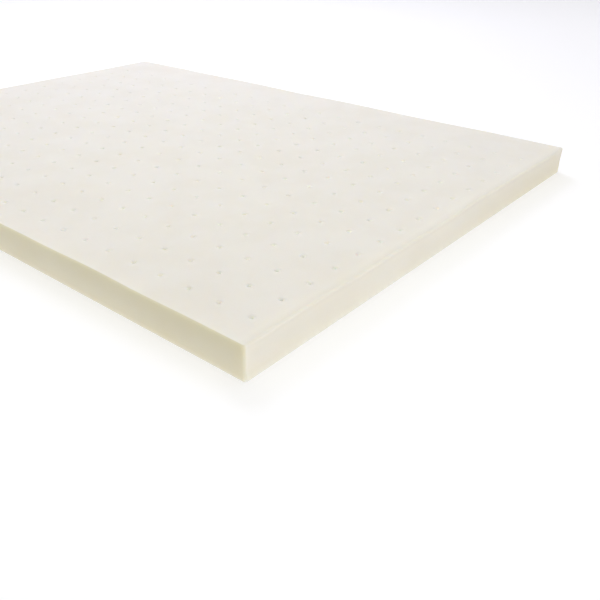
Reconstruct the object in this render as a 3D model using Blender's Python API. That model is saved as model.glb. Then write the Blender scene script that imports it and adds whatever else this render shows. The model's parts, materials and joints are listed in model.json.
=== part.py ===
"""Ventilated foam mattress topper: one slab, lying flat, with a grid of small round channels through it.

The slab lies on z = 0, centred on the Z axis. X runs across it, Y along it, with the foot end at -Y.
"""

import math

import bmesh
import bpy

# Driving dimensions, in metres.
WIDTH = 1.372  # 54 in, across
LENGTH = 1.905  # 75 in, along
THICKNESS = 0.0762  # 3 in
CORNER_RADIUS = 0.0065  # the four upright corners, seen from above
TOP_EDGE_RADIUS = 0.0045
BOTTOM_EDGE_RADIUS = 0.002

CHANNEL_DIAMETER = 0.011
CHANNEL_PITCH = 0.080  # the same across and along
CHANNEL_COLUMNS = 15  # across
CHANNEL_ROWS = 23  # along
FIRST_CHANNEL_X = 0.074  # centre of the first column, from the -X side
FIRST_CHANNEL_Y = 0.052  # centre of the first row, from the foot end

# How finely the round stretches are faceted.
CORNER_SEGMENTS = 3
EDGE_SEGMENTS = 2
CHANNEL_SIDES = 6

FOAM_COLOUR = (0.82, 0.79, 0.68, 1.0)
FOAM_ROUGHNESS = 0.92


def clear_scene():
    """Removes every object that the scene starts with."""
    for obj in list(bpy.data.objects):
        bpy.data.objects.remove(obj, do_unlink=True)


def foam_material():
    """Pale cream open-cell foam: matt and not metallic."""
    material = bpy.data.materials.new("foam")
    material.use_nodes = True
    shader = material.node_tree.nodes["Principled BSDF"]
    shader.inputs["Base Color"].default_value = FOAM_COLOUR
    shader.inputs["Roughness"].default_value = FOAM_ROUGHNESS
    shader.inputs["Metallic"].default_value = 0.0
    return material


def edge_profile():
    """(inset, height) steps up the slab's side: the lower round, the upright face, then the upper round."""
    steps = []
    for step in range(EDGE_SEGMENTS + 1):
        angle = math.pi / 2 * step / EDGE_SEGMENTS
        inset = BOTTOM_EDGE_RADIUS * (1 - math.sin(angle))
        steps.append((inset, BOTTOM_EDGE_RADIUS * (1 - math.cos(angle))))
    for step in range(EDGE_SEGMENTS + 1):
        angle = math.pi / 2 * step / EDGE_SEGMENTS
        inset = TOP_EDGE_RADIUS * (1 - math.cos(angle))
        steps.append((inset, THICKNESS - TOP_EDGE_RADIUS * (1 - math.sin(angle))))
    return steps


def add_loop(bm, points):
    """A closed ring of vertices, joined by edges, through the points. Returns the edges."""
    vertices = [bm.verts.new(point) for point in points]
    following = vertices[1:] + vertices[:1]
    return [bm.edges.new(pair) for pair in zip(vertices, following)]


def outline(inset, height):
    """The slab's outline, drawn in by the inset: a rectangle with an arc at each corner, anticlockwise."""
    radius = CORNER_RADIUS - inset
    corner_x = WIDTH / 2 - CORNER_RADIUS
    corner_y = LENGTH / 2 - CORNER_RADIUS
    points = []
    for quarter, (side_x, side_y) in enumerate([(1, 1), (-1, 1), (-1, -1), (1, -1)]):
        for step in range(CORNER_SEGMENTS + 1):
            angle = math.pi / 2 * (quarter + step / CORNER_SEGMENTS)
            x = side_x * corner_x + radius * math.cos(angle)
            y = side_y * corner_y + radius * math.sin(angle)
            points.append((x, y, height))
    return points


def channel_centres():
    """The centre of each channel, column by column within each row."""
    first_x = FIRST_CHANNEL_X - WIDTH / 2
    first_y = FIRST_CHANNEL_Y - LENGTH / 2
    for row in range(CHANNEL_ROWS):
        for column in range(CHANNEL_COLUMNS):
            yield first_x + column * CHANNEL_PITCH, first_y + row * CHANNEL_PITCH


def channel_ring(centre, height):
    """A channel's rim: a regular polygon that has the round channel's area."""
    turn = 2 * math.pi / CHANNEL_SIDES
    radius = CHANNEL_DIAMETER / 2 * math.sqrt(turn / math.sin(turn))
    points = []
    for side in range(CHANNEL_SIDES):
        x = centre[0] + radius * math.cos(side * turn)
        y = centre[1] + radius * math.sin(side * turn)
        points.append((x, y, height))
    return points


def build_slab():
    """The perforated slab as one closed mesh: its side, the channels' walls, then its two flat faces."""
    bm = bmesh.new()
    rings = [add_loop(bm, outline(inset, height)) for inset, height in edge_profile()]
    for lower, upper in zip(rings, rings[1:]):
        bmesh.ops.bridge_loops(bm, edges=lower + upper)

    floor_edges = list(rings[0])
    top_edges = list(rings[-1])
    for centre in channel_centres():
        lower = add_loop(bm, channel_ring(centre, 0.0))
        upper = add_loop(bm, channel_ring(centre, THICKNESS))
        bmesh.ops.bridge_loops(bm, edges=lower + upper)
        floor_edges += lower
        top_edges += upper

    for edges in (floor_edges, top_edges):
        bmesh.ops.triangle_fill(bm, edges=edges, use_beauty=True)
    bmesh.ops.recalc_face_normals(bm, faces=bm.faces)

    mesh = bpy.data.meshes.new("topper")
    bm.to_mesh(mesh)
    bm.free()
    return mesh


def build_topper():
    """The topper's one piece, at its place in the scene."""
    topper = bpy.data.objects.new("topper", build_slab())
    topper.data.materials.append(foam_material())
    topper.data.shade_smooth()
    topper.data.set_sharp_from_angle(angle=math.radians(50))
    bpy.context.scene.collection.objects.link(topper)
    return topper


clear_scene()
build_topper()
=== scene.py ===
# %% [markdown]
# # A ventilated foam mattress topper
#
# The real topper is one loose slab of soft foam. The foam is poured into a flat mould that is full of
# upright steel pins, and the pins leave a square grid of channels that let air through. This lesson
# builds its looks: first the frame that the slab has to match, then its surface, its finish, and last the
# studio that shows it.

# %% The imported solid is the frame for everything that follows
import json
import math

import bpy
import numpy as np
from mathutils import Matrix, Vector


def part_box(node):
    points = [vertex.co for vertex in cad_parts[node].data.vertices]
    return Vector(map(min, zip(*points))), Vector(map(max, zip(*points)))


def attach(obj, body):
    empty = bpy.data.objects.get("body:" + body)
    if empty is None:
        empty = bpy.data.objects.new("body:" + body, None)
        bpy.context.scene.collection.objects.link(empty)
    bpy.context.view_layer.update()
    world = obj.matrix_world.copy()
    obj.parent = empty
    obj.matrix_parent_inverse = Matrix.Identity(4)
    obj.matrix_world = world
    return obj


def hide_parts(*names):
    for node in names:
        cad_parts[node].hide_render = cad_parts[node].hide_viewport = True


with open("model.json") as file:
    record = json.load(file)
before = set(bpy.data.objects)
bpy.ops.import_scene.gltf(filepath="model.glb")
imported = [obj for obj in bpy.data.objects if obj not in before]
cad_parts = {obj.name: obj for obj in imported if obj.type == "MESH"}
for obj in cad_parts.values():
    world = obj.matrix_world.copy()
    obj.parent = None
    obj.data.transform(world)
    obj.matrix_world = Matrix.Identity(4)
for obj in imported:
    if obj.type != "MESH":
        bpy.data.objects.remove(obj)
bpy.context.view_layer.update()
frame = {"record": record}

low, high = (np.array(corner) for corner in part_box("topper"))
WIDTH, LENGTH, THICKNESS = (high - low).tolist()
print(f"slab: {WIDTH:.3f} m across, {LENGTH:.3f} m along, {THICKNESS * 1000:.1f} mm thick")

# %% [markdown]
# ## The grid of channels
#
# The solid has the channels as plain six-sided holes. The looks need round ones in the same places, so
# the grid is laid out again from the distances that a mould maker would give: one pitch both ways, and
# the first pin's distance from two edges. The record states a few of the channels as boxes, which tells
# us whether the two grids agree.

# %% Channel centres, row by row from the foot end
PITCH = 0.080
COLUMNS, ROWS = 15, 23
FIRST_CHANNEL = np.array([0.074, 0.052])  # from the left side, and from the foot end

columns, rows = np.meshgrid(np.arange(COLUMNS), np.arange(ROWS))
centres = low[:2] + FIRST_CHANNEL + PITCH * np.stack([columns.ravel(), rows.ravel()], axis=1)

openings = frame["record"]["physics"]["openings"]
stated = np.array([np.mean(opening["box_m"], axis=0) for opening in openings])
misses = np.linalg.norm(stated[:, None, :2] - centres, axis=2).min(axis=1)
print(f"{len(centres)} channels; those on record lie within {misses.max() * 1000:.2f} mm of the grid")

# %% [markdown]
# ## One channel and the square of foam around it
#
# A channel is narrow, but its mouth opens wide and soft, because the foam there has nothing to hold it
# and sinks back a little from the pin. From above, each one is a faint dimple with a small dark middle.
#
# A flat sheet with hundreds of round holes could be cut with Boolean modifiers, but that is slow and
# leaves long thin triangles that shade badly. Here the slab is laid out as square tiles, one round each
# channel. A tile is a polar grid: rays leave the channel's axis at even angles, and along each ray the
# section runs from the tile's upper border across the foam, down the mouth's funnel and the channel's
# wall, and out again underneath. Twelve rays, turned by half a step, put one ray through each corner of
# the square, so that neighbouring tiles share their border points exactly.

# %% The tile's rays
RAYS = 12

ray_angles = (np.arange(RAYS) + 0.5) * 2 * math.pi / RAYS
ray_directions = np.stack([np.cos(ray_angles), np.sin(ray_angles)], axis=1)
print(f"{RAYS} rays, {math.degrees(ray_angles[1] - ray_angles[0]):.0f} degrees apart")

# %% The tile's section
CHANNEL_RADIUS = 0.0025  # of its narrow part
MOUTH_FLARE = 0.0046  # how far the mouth opens out of the wall, above
MOUTH_DEPTH = 0.0047  # over this depth
MOUTH_CURVE = [(0.60, 0.25), (0.26, 0.60)]  # points on its curve, as shares of its flare and of its depth
FOOT_FLARE = 0.0012  # the flare of the lower mouth
FOOT_DEPTH = 0.0015
SINK = 0.0006  # how far the foam has sunk round a mouth
LEVEL_SHARE = 0.24  # as a share of the way to the tile's border, where the foam is level again
HALFWAY_SHARE = LEVEL_SHARE / 3  # a point on the sunk foam's curve
HALFWAY_SUNK = 0.4  # the share of the sinking there

# Each step of the section: the share of the way to the border, how far out of the wall, the share of the
# sinking, and how far below the top.
TILE_SECTION = np.array([
    (1.00, MOUTH_FLARE, 0.0, 0.0),
    (LEVEL_SHARE, MOUTH_FLARE, 0.0, 0.0),
    (HALFWAY_SHARE, MOUTH_FLARE, HALFWAY_SUNK, 0.0),
    (0.00, MOUTH_FLARE, 1.0, 0.0),
    *[(0.00, MOUTH_FLARE * out, 1.0, MOUTH_DEPTH * down) for out, down in MOUTH_CURVE],
    (0.00, 0.0, 1.0, MOUTH_DEPTH),
    (0.00, 0.0, 0.0, THICKNESS - FOOT_DEPTH),
    (0.00, FOOT_FLARE, 0.0, THICKNESS),
    (1.00, FOOT_FLARE, 0.0, THICKNESS),
])
print(f"{len(TILE_SECTION)} steps from the upper border to the lower one")

# %% All the tiles at once
SEED = 7
RADIUS_SPREAD = (0.95, 1.05)  # no two channels are quite alike
SINK_SPREAD = (0.7, 1.3)


def tiles(radii, sinks):
    """All the tiles, as an array of channel, step, ray and coordinate.

    A point's distance from the axis is the channel's radius, plus the step's way out of the wall, plus the
    step's share of what is left from there to the square's border. Along a ray at angle a, that border is
    half a pitch over the larger of |cos a| and |sin a|. Its height is the top less the step's drop and its
    part of the sinking.
    """
    share, out, sunk, drop = TILE_SECTION.T[:, None, :, None]
    border = PITCH / 2 / np.abs(ray_directions).max(axis=1)
    rim = radii[:, None, None] + out
    reach = rim + share * (border - rim)
    plan = centres[:, None, None] + reach[..., None] * ray_directions
    height = np.broadcast_to(high[2] - drop - sunk * sinks[:, None, None], reach.shape)
    return np.concatenate([plan, height[..., None]], axis=3)


random = np.random.default_rng(SEED)
radii = CHANNEL_RADIUS * random.uniform(*RADIUS_SPREAD, len(centres))
sinks = SINK * random.uniform(*SINK_SPREAD, len(centres))
tile_points = tiles(radii, sinks)
print(f"channels {2000 * radii.min():.1f} to {2000 * radii.max():.1f} mm across")

# %% The tiles' faces


def band_faces(steps, around, first=0):
    """The quads of a closed band of points: each joins a point, its neighbour and the two next in."""
    step, place = np.meshgrid(np.arange(steps - 1), np.arange(around), indexing="ij")
    here = step * around + place
    beside = step * around + (place + 1) % around
    quads = [here, beside, beside + around, here + around]
    return first + np.stack(quads, axis=-1).reshape(-1, 4)


tile_quads = band_faces(len(TILE_SECTION), RAYS)
per_tile = len(TILE_SECTION) * RAYS
tile_faces = (tile_quads + per_tile * np.arange(len(centres))[:, None, None]).reshape(-1, 4)
print(f"{len(tile_quads)} faces in each of {len(centres)} tiles")

# %% [markdown]
# ## The slab's edge
#
# Round the tiles runs one closed band: in from the lower face, up the side and back over the upper edge.
# It is a section carried along the slab's outline. The outline is a rectangle with small arcs at its
# corners, and its points lie opposite the tiles' border points, so that the band can be welded to them.
# The upper edge is soft to the hand and the lower one crisper.

# %% Points along each side
CORNER_RADIUS = 0.0065
STATION_STEP = PITCH / 3  # between the points beyond the grid

grid_low = centres[0] - PITCH / 2
grid_high = centres[-1] + PITCH / 2
core = high[:2] - CORNER_RADIUS  # the centre of the far right corner's arc


def steps_between(start, end):
    """How many steps of about the chosen length take a plain stretch."""
    return max(1, round((end - start) / STATION_STEP))


def stations(axis):
    """Points along one side, from arc to arc: even steps, the tiles' border points, and even steps again.

    On a square tile's border its points are at half a pitch times the tangent of each ray's angle.
    """
    spread = PITCH / 2 * np.tan(np.linspace(-math.pi / 4, math.pi / 4, RAYS // 4 + 1))
    middles = centres[:, axis].reshape(ROWS, COLUMNS)
    middles = middles[:, 0] if axis else middles[0]
    tiled = np.append((middles[:, None] + spread[:-1]).ravel(), grid_high[axis])
    start, grid_start, grid_end, end = -core[axis], grid_low[axis], grid_high[axis], core[axis]
    before = np.linspace(start, grid_start, steps_between(start, grid_start), endpoint=False)
    after = np.linspace(end, grid_end, steps_between(grid_end, end), endpoint=False)
    return np.concatenate([before, tiled, after[::-1]])


across_stations, along_stations = stations(0), stations(1)
print(f"{len(across_stations)} points across, {len(along_stations)} along")

# %% The outline's points and the outward direction at each
ARC_STEPS = 5  # round each upright corner


def outline():
    """The outline, anticlockwise from the foot end's left: each point's place on the core, and its normal.

    The core is the rectangle through the arcs' centres. A side's normal is constant, and an arc's turns
    evenly from one side's normal to the next, about the core's corner.
    """
    sides = [
        (across_stations, -core[1], 0),
        (along_stations, core[0], 1),
        (across_stations[::-1], core[1], 0),
        (along_stations[::-1], -core[0], 1),
    ]
    corners = [(1, -1), (1, 1), (-1, 1), (-1, -1)]
    points, turns = [], []
    for quarter, ((run, fixed, axis), corner) in enumerate(zip(sides, corners)):
        side = np.full((len(run), 2), fixed)
        side[:, axis] = run
        arc = np.linspace(quarter - 1, quarter, ARC_STEPS + 1)[1:-1]
        points += [side, np.tile(core * corner, (len(arc), 1))]
        turns += [np.full(len(run), quarter - 1.0), arc]
    angles = np.concatenate(turns) * math.pi / 2
    return np.concatenate(points), np.stack([np.cos(angles), np.sin(angles)], axis=1)


core_points, normals = outline()
print(f"{len(core_points)} points round the outline")

# %% The edge's section, from the lower face round to the upper one
TOP_EDGE_RADIUS = 0.0045
BOTTOM_EDGE_RADIUS = 0.002
EDGE_STEPS = 4  # over the upper round; the lower one gets half as many
SIDE_STEPS = 8
SIDE_HOLLOW = 0.0006  # how far the side is drawn in at half height
SUPPORT = 0.0015  # a ring this far inside each round keeps the flat faces' shading flat
MARGIN_SHARES = (1 / 3, 2 / 3)  # rings across the plain margin between the tiles and the edge


def quarter_round(radius, steps):
    """A quarter circle as (inset, height) from flat to upright face: r(1 - sin a), r(1 - cos a)."""
    angle = np.linspace(0, math.pi / 2, steps + 1)
    return np.stack([radius * (1 - np.sin(angle)), radius * (1 - np.cos(angle))], axis=1)


def edge_section():
    """Each step: the share of the way from the tiles to the edge, the inset from the outline, the height.

    The side between the two rounds is a shallow parabola: 4 v (1 - v) times the hollow, at a share v of the
    way up.
    """
    lower = quarter_round(BOTTOM_EDGE_RADIUS, EDGE_STEPS // 2)
    upper = quarter_round(TOP_EDGE_RADIUS, EDGE_STEPS)[::-1]
    upper[:, 1] = THICKNESS - upper[:, 1]
    side_low, side_high = BOTTOM_EDGE_RADIUS, THICKNESS - TOP_EDGE_RADIUS
    way = np.linspace(0, 1, SIDE_STEPS + 1)[1:-1]
    side = np.stack([SIDE_HOLLOW * 4 * way * (1 - way), side_low + way * (side_high - side_low)], axis=1)
    lower_flat = BOTTOM_EDGE_RADIUS + SUPPORT
    upper_flat = TOP_EDGE_RADIUS + SUPPORT
    return np.array(
        [(share, lower_flat, 0.0) for share in (0, *MARGIN_SHARES, 1)]
        + [(1, inset, height) for inset, height in lower]
        + [(1, inset, height) for inset, height in side]
        + [(1, inset, height) for inset, height in upper]
        + [(share, upper_flat, THICKNESS) for share in (1, *MARGIN_SHARES[::-1], 0)]
    )


def edge_band():
    """The band's points, as an array of step, place round the outline and coordinate.

    An outline point drawn in by an inset is its core point plus the normal times what is left of the corner
    radius. The step's share then leads from the nearest point of the tiles' border to that point.
    """
    share, inset, height = edge_section().T[:, :, None, None]
    inner = np.clip(core_points + normals * CORNER_RADIUS, grid_low, grid_high)
    outer = core_points + normals * (CORNER_RADIUS - inset)
    plan = inner + share * (outer - inner)
    return np.concatenate([plan, np.broadcast_to(height, (*plan.shape[:2], 1))], axis=2)


band_points = edge_band()
print(f"edge band: {band_points.shape[0]} steps by {band_points.shape[1]} places")

# %% [markdown]
# ## Unevenness
#
# A machined block would look like plastic. Foam shrinks as it cures, is trimmed by hand and relaxes, so
# its faces swell and sink by about a millimetre over a hand's width or more. A sum of a few long sine
# waves in unlike directions gives that without any visible repeat. The underside stays flat, because the
# slab's own weight presses it to whatever it lies on.

# %% A sum of long soft waves
WAVES = 9
WAVE_LENGTHS = (0.22, 0.85)  # the shortest and the longest


def waves(first, second, seed):
    """A sum of sines of (k . p + phase) with unlike lengths and directions, with a spread of about one."""
    pick = np.random.default_rng(seed)
    lengths = pick.uniform(*WAVE_LENGTHS, WAVES)
    headings = pick.uniform(0, 2 * math.pi, WAVES)
    phases = pick.uniform(0, 2 * math.pi, WAVES)
    across = np.cos(headings) * 2 * math.pi / lengths
    along = np.sin(headings) * 2 * math.pi / lengths
    total = np.sin(first[:, None] * across + second[:, None] * along + phases).sum(axis=1)
    return total / math.sqrt(WAVES / 2)


# %% The relief of the top and the sides
TOP_RELIEF = 0.0007  # about how far the waves lift the top or let it sink
SIDE_RELIEF = 0.0011  # the same for the sides
SIDE_DEPTH = 0.06  # how far in from a side its unevenness dies away
SIDE_STRETCH = 3  # a side's waves change this many times faster up it than along it
TOP_SEED = 1
SIDE_SEEDS = [(2, 3), (4, 5)]  # of the left and the right side, then of the foot and the head end


def ease(value):
    """The smooth step 3v^2 - 2v^3 of a value held between 0 and 1."""
    held = np.clip(value, 0, 1)
    return held * held * (3 - 2 * held)


def uneven(points):
    """Points moved by the relief: up by the top's waves, and out by each side's, with none at the base."""
    x, y, z = points.T
    lift = ease(z / THICKNESS)
    moved = points.copy()
    moved[:, 2] += TOP_RELIEF * lift * waves(x, y, TOP_SEED)
    for axis, seeds in enumerate(SIDE_SEEDS):
        for side, seed in zip((-1, 1), seeds):
            near = ease(1 - (high[axis] - side * points[:, axis]) / SIDE_DEPTH)
            swell = waves(points[:, 1 - axis], SIDE_STRETCH * z, seed)
            moved[:, axis] += side * SIDE_RELIEF * lift * near * swell
    return moved


even_points = np.concatenate([tile_points.reshape(-1, 3), band_points.reshape(-1, 3)])
uneven_points = uneven(even_points)
shifts = np.linalg.norm(uneven_points - even_points, axis=1)
print(f"points moved by up to {shifts.max() * 1000:.1f} mm")

# %% [markdown]
# ## Welding the mesh
#
# Tiles and band meet point for point, so merging points that coincide gives one closed skin. A closed
# skin has two faces at each of its edges, which is easy to count.
#
# The mesh also remembers where each point would lie on the even slab, as an attribute. The finish reads
# that place, so the borders between its zones stay straight where the surface swells and sinks.

# %% The slab as one closed mesh
import bmesh

WELD = 0.00002  # points nearer to each other than this become one

band = band_faces(*band_points.shape[:2], first=tile_points[..., 0].size)
mesh = bpy.data.meshes.new("foam_slab")
mesh.from_pydata(uneven_points, [], np.concatenate([tile_faces, band]))
even_place = mesh.attributes.new("even_place", "FLOAT_VECTOR", "POINT")
even_place.data.foreach_set("vector", even_points.ravel().astype(np.float32))

surface = bmesh.new()
surface.from_mesh(mesh)
bmesh.ops.remove_doubles(surface, verts=surface.verts, dist=WELD)
open_edges = sum(len(edge.link_faces) != 2 for edge in surface.edges)
volume = surface.calc_volume(signed=True)
print(f"{len(surface.faces)} faces, {open_edges} open edges, volume {volume:.4f} cubic metres")
surface.to_mesh(mesh)
surface.free()
mesh.shade_smooth()

slab = bpy.data.objects.new("foam_slab", mesh)
bpy.context.scene.collection.objects.link(slab)

# %% [markdown]
# ## Shader arithmetic
#
# A finish is worked out by nodes, which are hard to read when they are wired by hand. Two small classes
# help. A Field stands for one output socket, and arithmetic on it adds Math nodes. A Finish adds every
# other node.

# %% A field of values, and a finish that makes them


class Field:
    """Something that varies over a surface: an output socket of a finish's node tree."""

    def __init__(self, finish, socket):
        self.finish = finish
        self.socket = socket

    def maths(self, operation, first, second=0.0):
        """Adds a Math node that works on one or two values, each a field or a number."""
        return self.finish.node("Math", {"operation": operation}, {0: first, 1: second})

    def __add__(self, other):
        return self.maths("ADD", self, other)

    def __sub__(self, other):
        return self.maths("SUBTRACT", self, other)

    def __rsub__(self, other):
        return self.maths("SUBTRACT", other, self)

    def __mul__(self, other):
        return self.maths("MULTIPLY", self, other)

    def __abs__(self):
        return self.maths("ABSOLUTE", self)

    __radd__ = __add__
    __rmul__ = __mul__


class Finish:
    """A material in the making. What its node method gives back takes part in arithmetic."""

    def __init__(self, name):
        self.material = bpy.data.materials.new(name)
        self.material.use_nodes = True
        self.tree = self.material.node_tree
        self.shader = self.tree.nodes["Principled BSDF"]

    def feed(self, socket, value):
        """Links a field to a socket, or sets the socket to a plain value."""
        if isinstance(value, Field):
            self.tree.links.new(value.socket, socket)
        else:
            socket.default_value = value

    def shade(self, values):
        """Feeds the shader's sockets by name, each from a field or a plain value."""
        for name, value in values.items():
            self.feed(self.shader.inputs[name], value)

    def node(self, kind, settings=None, inputs=None, output=0):
        """Adds a node of a kind, makes its settings, then feeds its sockets by name or number."""
        made = self.tree.nodes.new("ShaderNode" + kind)
        for name, value in (settings or {}).items():
            setattr(made, name, value)
        for place, value in (inputs or {}).items():
            self.feed(made.inputs[place], value)
        return Field(self, made.outputs[output])

    def blend(self, share, first, second):
        """Mixes two colours, which are sockets 6 and 7: the first where the share is 0, the second at 1."""
        settings = {"data_type": "RGBA"}
        return self.node("Mix", settings, {"Factor": share, 6: first, 7: second}, output=2)

    def between(self, value, start, end):
        """A smooth step: 0 up to the start, 1 from the end on. The end may lie below the start."""
        settings = {"interpolation_type": "SMOOTHSTEP"}
        return self.node("MapRange", settings, {"Value": value, "From Min": start, "From Max": end})

    def noise(self, place, scale, detail=2.0, roughness=0.5):
        """Fractal noise from 0 to 1, with features about 1 / scale metres across."""
        inputs = {"Vector": place, "Scale": scale, "Detail": detail, "Roughness": roughness}
        return self.node("TexNoise", None, inputs)


# %% [markdown]
# ## The foam
#
# Foam has a paler skin where it touched the mould: on the two broad faces, on the two ends and down the
# channels. The two long sides are sawn. They show the core, a deeper cream, and their tone is partly that
# core's own colour and partly painted shade, with more painted shade towards the top. The ends carry
# painted shade too: deeper towards the slab's right and along their upper edges. The channels' walls are
# painted lighter than the skin, painted light for the light that the foam carries into them. Each of
# these zones has its own colour, and smooth steps of the distance from the slab's faces say where it lies.
#
# Soft clouds of lighter and deeper cream and a cellular grain finer than a millimetre lie over all of it.
# They could be painted as images, but noise worked out in space needs no unwrapping and has no seams.

# %% Where a point lies on the even slab
foam = Finish("foam")
place = foam.node("Attribute", {"attribute_name": "even_place"}, output="Vector")
across, along, height = (foam.node("SeparateXYZ", None, {0: place}, output=axis) for axis in "XYZ")
from_side = WIDTH / 2 - abs(across)
from_end = LENGTH / 2 - abs(along)
from_top = THICKNESS - height
depth = THICKNESS / 2 - abs(height - THICKNESS / 2)  # below the nearer broad face
print(f"{len(foam.tree.nodes)} nodes for the distances")

# %% The zones of the foam
SKIN_DEPTH = (0.00005, 0.0012)  # how deep the skin of the broad faces reaches
SIDE_START = (0.0060, 0.0010)  # how near a side or an end its own tone and its painted shade begin and are full
WALL_START = (0.010, 0.014)  # how far in from the nearest side the channels' walls take over
CHANNEL_LIGHT_DEPTH = (0.0010, 0.0034)  # how deep in a channel its painted light begins and is full

below = foam.between(depth, *SKIN_DEPTH)
inside = foam.between(from_side, *WALL_START) * foam.between(from_end, *WALL_START)
# Where the painted light in the channels lies.
channel_light = inside * foam.between(depth, *CHANNEL_LIGHT_DEPTH)
on_shaded_side = below * foam.between(from_side, *SIDE_START)
on_end = below * foam.between(from_end, *SIDE_START)
print(f"channel walls from {CHANNEL_LIGHT_DEPTH[0] * 1000:.1f} mm down")

# %% Clouds and fine specks
CLOUD_SCALE = 9.0
CLOUD_RANGE = (0.35, 0.68)  # the noise values between which a cloud fades in
CLOUD_SHARE = 0.7
SPECK_SCALE = 260.0
SPECK_RANGE = (0.42, 0.66)
SPECK_SHARE = 0.3

clouds = foam.between(foam.noise(place, CLOUD_SCALE, detail=3.0), *CLOUD_RANGE)
specks = foam.between(foam.noise(place, SPECK_SCALE, roughness=0.7), *SPECK_RANGE)
mottle = clouds * CLOUD_SHARE + specks * SPECK_SHARE
print(f"clouds about {100 / CLOUD_SCALE:.0f} cm across, specks about {1000 / SPECK_SCALE:.0f} mm")

# %% The colours of the skin, of the sawn sides and of the ends, with their painted shade
SKIN = (0.845, 0.82, 0.735, 1.0)
SKIN_DEEP = (0.82, 0.79, 0.69, 1.0)
# The sawn sides' colours are partly the core's own deeper cream and partly painted shade.
CUT_PARTLY_SHADED = (0.765, 0.722, 0.563, 1.0)
CUT_DEEP_PARTLY_SHADED = (0.737, 0.688, 0.52, 1.0)
# Painted shade: a sawn side is drawn darker towards its top, under the upper edge.
CUT_TOP_PAINTED_SHADE = (0.63, 0.59, 0.408, 1.0)
PAINTED_TOP_SHADE = 0.8  # the share of the painted shade at a sawn side's top, where it is deepest
END = (0.81, 0.77, 0.652, 1.0)
END_DEEP = (0.785, 0.74, 0.608, 1.0)
# Painted shade: the ends deepen and yellow towards the slab's right.
END_FAR_PAINTED_SHADE = (0.765, 0.705, 0.54, 1.0)
END_SHADE_FADE = (-0.15, 0.72)  # painted shade: from where to where across the slab the ends turn to their far, deeper tone, as the foot fill's light falls off

skin = foam.blend(mottle, SKIN, SKIN_DEEP)
cut_and_shade = foam.blend(mottle, CUT_PARTLY_SHADED, CUT_DEEP_PARTLY_SHADED)
# Painted shade, deepening up the sawn side towards its top.
cut_and_shade = foam.blend(foam.between(height, 0.0, THICKNESS) * PAINTED_TOP_SHADE, cut_and_shade, CUT_TOP_PAINTED_SHADE)
end = foam.blend(mottle, END, END_DEEP)
# Painted shade across each end, deeper towards the right.
end = foam.blend(foam.between(across, *END_SHADE_FADE), end, END_FAR_PAINTED_SHADE)
print(f"{len(foam.tree.nodes)} nodes with the zones' colours")

# %% The zones put together, with painted shade on the ends' upper edges and painted light in the channels
# Painted light: the channels' walls lighter than the skin, for the light that the foam carries into them.
WALL_PAINTED_LIGHT = (0.96, 0.94, 0.825, 1.0)
RIM_PAINTED_SHADE = (0.715, 0.68, 0.58, 1.0)  # painted shade near an end's upper edge, which evens out the highlight on that rounded edge

# The painted shade shows as a wide faint band and a narrow stronger one. For each: how many steps down the
# end count as much as one step in over the top, how far from the edge the shade begins and is full, and its
# share.
RIM_SHADES = [(3, (0.060, 0.006), 0.40), (2, (0.018, 0.005), 0.55)]

colour = foam.blend(on_end, skin, end)
# Painted shade along the ends' upper edges.
for slant, reach, share in RIM_SHADES:
    colour = foam.blend(foam.between(from_top + slant * from_end, *reach) * share, colour, RIM_PAINTED_SHADE)
# Painted light down the channels.
colour = foam.blend(channel_light, colour, WALL_PAINTED_LIGHT)
# Painted shade on the sawn sides, together with their own deeper cream.
colour = foam.blend(on_shaded_side, colour, cut_and_shade)
print(f"{len(foam.tree.nodes)} nodes up to the colour")

# %% The grain, as relief
CELL_SCALE = 900.0
CELL_SOFTNESS = 0.4
CELL_RELIEF = 0.00025
SWELL_SCALE = 30.0
SWELL_RELIEF = 0.0006
GRAIN_SCALE = 2200.0
GRAIN_RELIEF = 0.00015
BUMP_STRENGTH = 0.8

cell_inputs = {"Vector": place, "Scale": CELL_SCALE, "Smoothness": CELL_SOFTNESS}
cells = foam.node("TexVoronoi", {"feature": "SMOOTH_F1"}, cell_inputs)
swell = foam.noise(place, SWELL_SCALE, detail=3.0)
grain = foam.noise(place, GRAIN_SCALE)
relief = CELL_RELIEF * cells + SWELL_RELIEF * swell + GRAIN_RELIEF * grain
bump = foam.node("Bump", None, {"Height": relief, "Strength": BUMP_STRENGTH, "Distance": 1.0})
print(f"cells about {1000 / CELL_SCALE:.1f} mm across")

# %% [markdown]
# ## Light in the foam
#
# The foam is matt. Light enters it and comes out again near by, which softens its edges and keeps the
# small channels from looking black. That is subsurface scattering, set as plain numbers on the shader:
# red travels farthest and blue least, which gives the thin edges their warm tone.

# %% The foam's finish on the slab
ROUGHNESS = 0.96
SPECK_SHINE = 0.08  # how much less rough the specks are

foam.shade({
    "Base Color": colour,
    "Roughness": ROUGHNESS - SPECK_SHINE * specks,
    "Normal": bump,
    "Metallic": 0.0,
    "Specular IOR Level": 0.2,
    "Subsurface Weight": 1.0,
    "Subsurface Radius": (1.0, 0.9, 0.7),
    "Subsurface Scale": 0.030,
    "Sheen Weight": 0.15,
    "Sheen Roughness": 0.6,
})
slab.data.materials.append(foam.material)
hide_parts("topper")
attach(slab, "root")
print(f"{len(foam.tree.nodes)} nodes in the foam's finish")

# %% [markdown]
# ## The studio's paper
#
# Pale things are often photographed on a lit table of white glass, where light from below reaches into
# every corner. Here the floor is paper that glows a little and curves up into a wall all the way round,
# so that it looks the same from every side and its light also brightens the lower part of the slab's
# sides. One curve turned about the Z axis gives its shape. The glow is a little stronger farther out,
# where less of the lamps' light falls.

# %% The round cove: a flat floor that curves up into a wall
COVE_FLAT = 7.0  # radius of the flat part
COVE_BEND = 4.0  # radius of the bend
COVE_HEIGHT = 7.0
BEND_STEPS = 12
COVE_SIDES = 64
FLOOR_GAP = 0.0005  # keeps the floor out of the plane of the slab's underside


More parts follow.
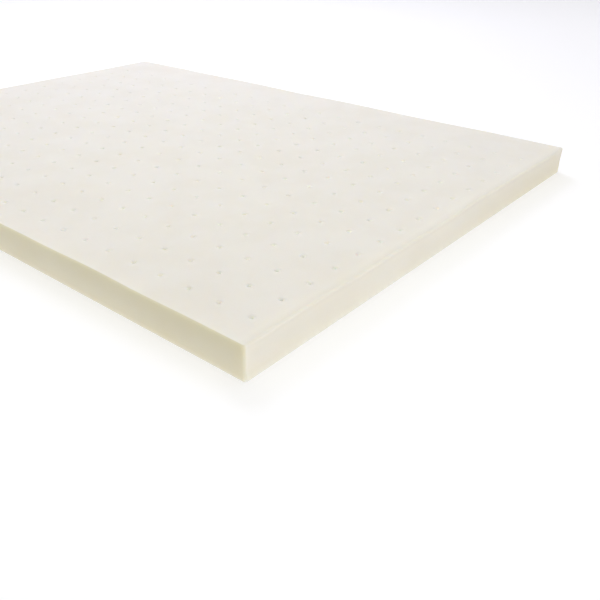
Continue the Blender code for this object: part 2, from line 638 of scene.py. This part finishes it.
def cove_points():
    """The cove as step, place and coordinate: its section turned about the Z axis.

    The section runs out along the flat, through a quarter circle, R + r sin a and r (1 - cos a), and up the
    wall.
    """
    angle = np.linspace(0, math.pi / 2, BEND_STEPS + 1)
    radius = np.append(COVE_FLAT + COVE_BEND * np.sin(angle), COVE_FLAT + COVE_BEND)
    height = np.append(COVE_BEND * (1 - np.cos(angle)), COVE_HEIGHT) + low[2] - FLOOR_GAP
    turn = np.arange(COVE_SIDES) * 2 * math.pi / COVE_SIDES
    ring = np.stack([np.cos(turn), np.sin(turn), np.zeros(COVE_SIDES)], axis=1)
    return radius[:, None, None] * ring + height[:, None, None] * np.array([0.0, 0.0, 1.0])


cove_rings = cove_points()
cove_faces = band_faces(*cove_rings.shape[:2])[:, ::-1].tolist()
cove_faces.append(list(range(COVE_SIDES)))
cove_mesh = bpy.data.meshes.new("studio_cove")
cove_mesh.from_pydata(cove_rings.reshape(-1, 3), [], cove_faces)
cove_mesh.shade_smooth()
cove = bpy.data.objects.new("studio_cove", cove_mesh)
bpy.context.scene.collection.objects.link(cove)
print(f"cove: {len(cove_faces)} faces, {2 * (COVE_FLAT + COVE_BEND):.0f} m across")

# %% The paper and its glow
PAPER = 0.62  # its grey, from black at 0 to white at 1
PAPER_ROUGHNESS = 0.9
PAPER_GLOW = 0.50
FLOOR_GLOW = (0.90, 0.90, 0.90, 1.0)
WALL_GLOW = (1.0, 1.0, 1.0, 1.0)
GLOW_REACH = (1.5, 4.5)  # from the middle, in metres

paper = Finish("studio_paper")
spot = paper.node("TexCoord", output="Object")
away = paper.node("VectorMath", {"operation": "LENGTH"}, {0: spot}, output="Value")
paper.shade({
    "Base Color": (PAPER, PAPER, PAPER, 1.0),
    "Roughness": PAPER_ROUGHNESS,
    "Emission Color": paper.blend(paper.between(away, *GLOW_REACH), FLOOR_GLOW, WALL_GLOW),
    "Emission Strength": PAPER_GLOW,
})
cove_mesh.materials.append(paper.material)
print(f"paper glow {PAPER_GLOW}, full from {GLOW_REACH[1]} m out")

# %% [markdown]
# ## The lights
#
# A small lamp would throw hard shadows, so the lights are large. A warm one hangs overhead, towards the
# near left, and a cool one stands high beyond the far right corner, so that the top turns from cream to
# white along its length. The foot end faces away from both. A weak cool ball of light fills it. A flat
# light so low would end in a straight line on the paper, at the plane of its own face, and a ball has no
# such plane.

# %% The light from all round
WORLD_COLOUR = (0.82, 0.77, 1.0, 1.0)
WORLD_STRENGTH = 0.2

world = bpy.data.worlds.new("studio")
world.use_nodes = True
background = world.node_tree.nodes["Background"]
background.inputs["Color"].default_value = WORLD_COLOUR
background.inputs["Strength"].default_value = WORLD_STRENGTH
bpy.context.scene.world = world
print(f"world strength {WORLD_STRENGTH}")

# %% The lamps


def lamp_at(kind, name, place, watts, colour):
    """A lamp of a kind at a place, which the camera doesn't see. Gives back its object."""
    lamp = bpy.data.lights.new(name, kind)
    lamp.energy = watts
    lamp.color = colour
    holder = bpy.data.objects.new(name, lamp)
    holder.location = place
    holder.visible_camera = False
    bpy.context.scene.collection.objects.link(holder)
    return holder


def soft_light(name, place, target, size, watts, colour):
    """A square light that faces a target: its -Z axis is tilted from straight down, then swung about Z."""
    holder = lamp_at("AREA", name, place, watts, colour)
    holder.data.shape = "SQUARE"
    holder.data.size = size
    aim = np.array(target) - np.array(place)
    tilt = math.atan2(math.hypot(aim[0], aim[1]), -aim[2])
    swing = math.atan2(aim[1], aim[0]) - math.pi / 2
    holder.rotation_euler = (tilt, 0.0, swing)


def light_ball(name, place, radius, watts, colour):
    """A glowing ball, which shines all ways alike."""
    holder = lamp_at("POINT", name, place, watts, colour)
    holder.data.shadow_soft_size = radius


soft_light(
    "overhead",
    place=(-0.5, -0.7, 3.4),
    target=(-0.3, -0.4, 0.0),
    size=3.2,
    watts=54.7,
    colour=(1.0, 0.995, 0.825),
)
soft_light(
    "far_side",
    place=(1.8, 2.3, 3.4),
    target=(0.4, 0.7, 0.0),
    size=2.2,
    watts=73.8,
    colour=(1.0, 1.0, 1.19),
)
light_ball("foot_fill", place=(-0.9, -2.6, 0.52), radius=0.5, watts=21.5, colour=(0.93, 1.0, 1.18))
print(f"{len(bpy.data.lights)} lamps, {sum(lamp.energy for lamp in bpy.data.lights):.0f} watts in all")

# %% [markdown]
# ## The camera
#
# The camera stands low beside the near left corner and looks along the slab towards its far right. Its
# place, turn and lens were found by fitting the slab's outline to the photograph. The outline there sits
# a little to one side of the lens's axis, as after cropping, which the small shift gives. The plain view
# transform shows the colours as they are worked out, without a film's curve.

# %% Camera
CAMERA_PLACE = (-1.3386, -1.5921, 0.6955)
CAMERA_TURN = (59.686, -0.342, -49.978)  # degrees about X, Y and Z, from looking straight down
LENS = 40.76  # focal length in millimetres
SIDE_SHIFT = 1 / 60  # of the image's width

optics = bpy.data.cameras.new("camera")
optics.lens = LENS
optics.shift_x = SIDE_SHIFT
camera = bpy.data.objects.new("camera", optics)
camera.location = CAMERA_PLACE
camera.rotation_euler = np.radians(CAMERA_TURN)
bpy.context.scene.collection.objects.link(camera)
bpy.context.scene.camera = camera
bpy.context.scene.view_settings.view_transform = "Standard"
print(f"camera {math.dist(CAMERA_PLACE, (0, 0, 0)):.2f} m from the middle of the slab's underside")
